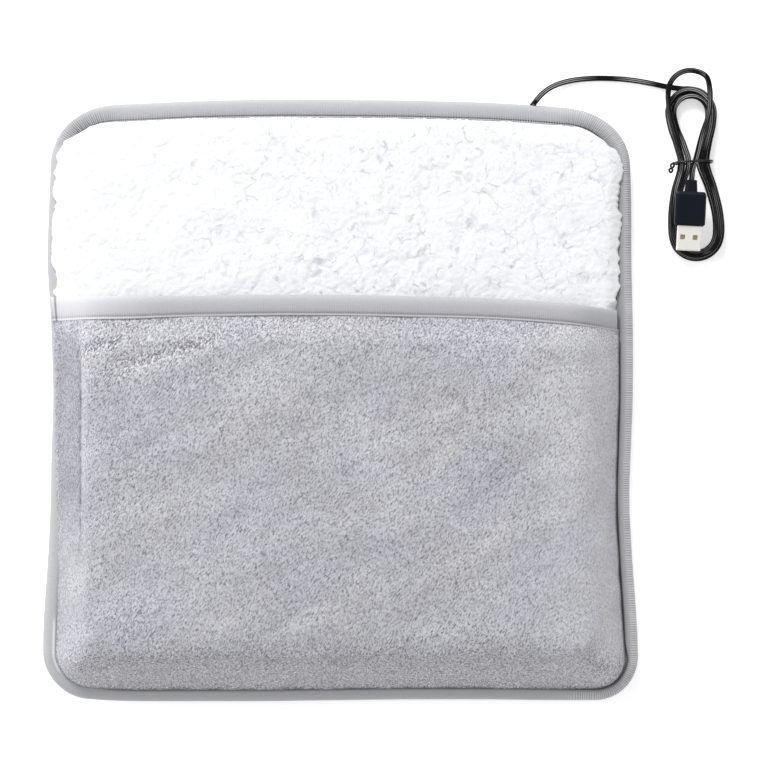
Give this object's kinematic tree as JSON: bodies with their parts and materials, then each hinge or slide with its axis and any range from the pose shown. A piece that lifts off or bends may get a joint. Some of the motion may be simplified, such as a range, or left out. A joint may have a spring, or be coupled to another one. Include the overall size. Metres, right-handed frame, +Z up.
{
  "type": "electric foot warmer",
  "caption": "Square padded foot pocket with a plush front, white pile lining, a sewn-in heating wire and a thin hanked lead with a flat low-voltage plug.",
  "frame": {"origin": "on the floor under the middle of the pad, the lead, its hank and its plug left out", "axes": "+Z up through the pad's thickness, +Y from the toe seam out of the pocket's mouth, +X towards the side where the lead lies"},
  "size_m": [0.3428, 0.3186, 0.0382],
  "materials": {
    "backing_cloth": "plain woven backing cloth, matt",
    "front_plush": "short-pile plush, soft grey with a cool mottle",
    "white_pile": "deep curled white pile",
    "wadding": "loose polyester wadding",
    "carrier_cloth": "thin non-woven cloth",
    "grey_tape": "ribbed folded binding tape, light grey",
    "heater_sheath": "silicone sheath, satin",
    "red_sheath": "core sheath, satin",
    "black_sheath": "smooth glossy black sheath",
    "black_rubber": "matt black rubber",
    "tie_sheath": "plastic-covered wire tie, satin black",
    "splice_tin": "tinned crimp sleeve",
    "cutout_shell": "pressed metal shell",
    "plug_plastic": "soft moulded plastic, satin blue-black",
    "bright_steel": "bright plated steel",
    "tongue_plastic": "white moulded plastic",
    "gilt_contact": "thin gold plating"
  },
  "bodies": {
    "base": {"base_cover": "backing_cloth", "base_wadding": "wadding", "heater_carrier_lower": "carrier_cloth", "heater_carrier_upper": "carrier_cloth", "heating_wire": "heater_sheath", "crimp_splice_left": "splice_tin", "crimp_splice_right": "splice_tin", "thermal_cutout": "cutout_shell", "link_wire": "black_sheath", "feed_wire_red": "red_sheath", "feed_wire_black": "black_sheath", "lead_tail": "black_sheath", "cord_outlet": "black_rubber", "base_lining": "white_pile", "edge_binding": "grey_tape", "lead": "black_sheath", "lead_hank": "black_sheath", "hank_tie": "tie_sheath", "plug_body": "plug_plastic", "plug_shell": "bright_steel", "plug_tongue": "tongue_plastic", "plug_contact_1": "gilt_contact", "plug_contact_2": "gilt_contact", "plug_contact_3": "gilt_contact", "plug_contact_4": "gilt_contact"},
    "pocket_front": {"pocket_cover": "front_plush", "pocket_wadding": "wadding", "pocket_lining": "white_pile", "mouth_binding": "grey_tape"}
  },
  "joints": [
    {"name": "front_lift", "type": "hinge", "parent": "base", "child": "pocket_front", "pos_m": [0, -0.1422, 0.0118], "axis": [1, 0, 0], "range_deg": [0, 12]}
  ]
}
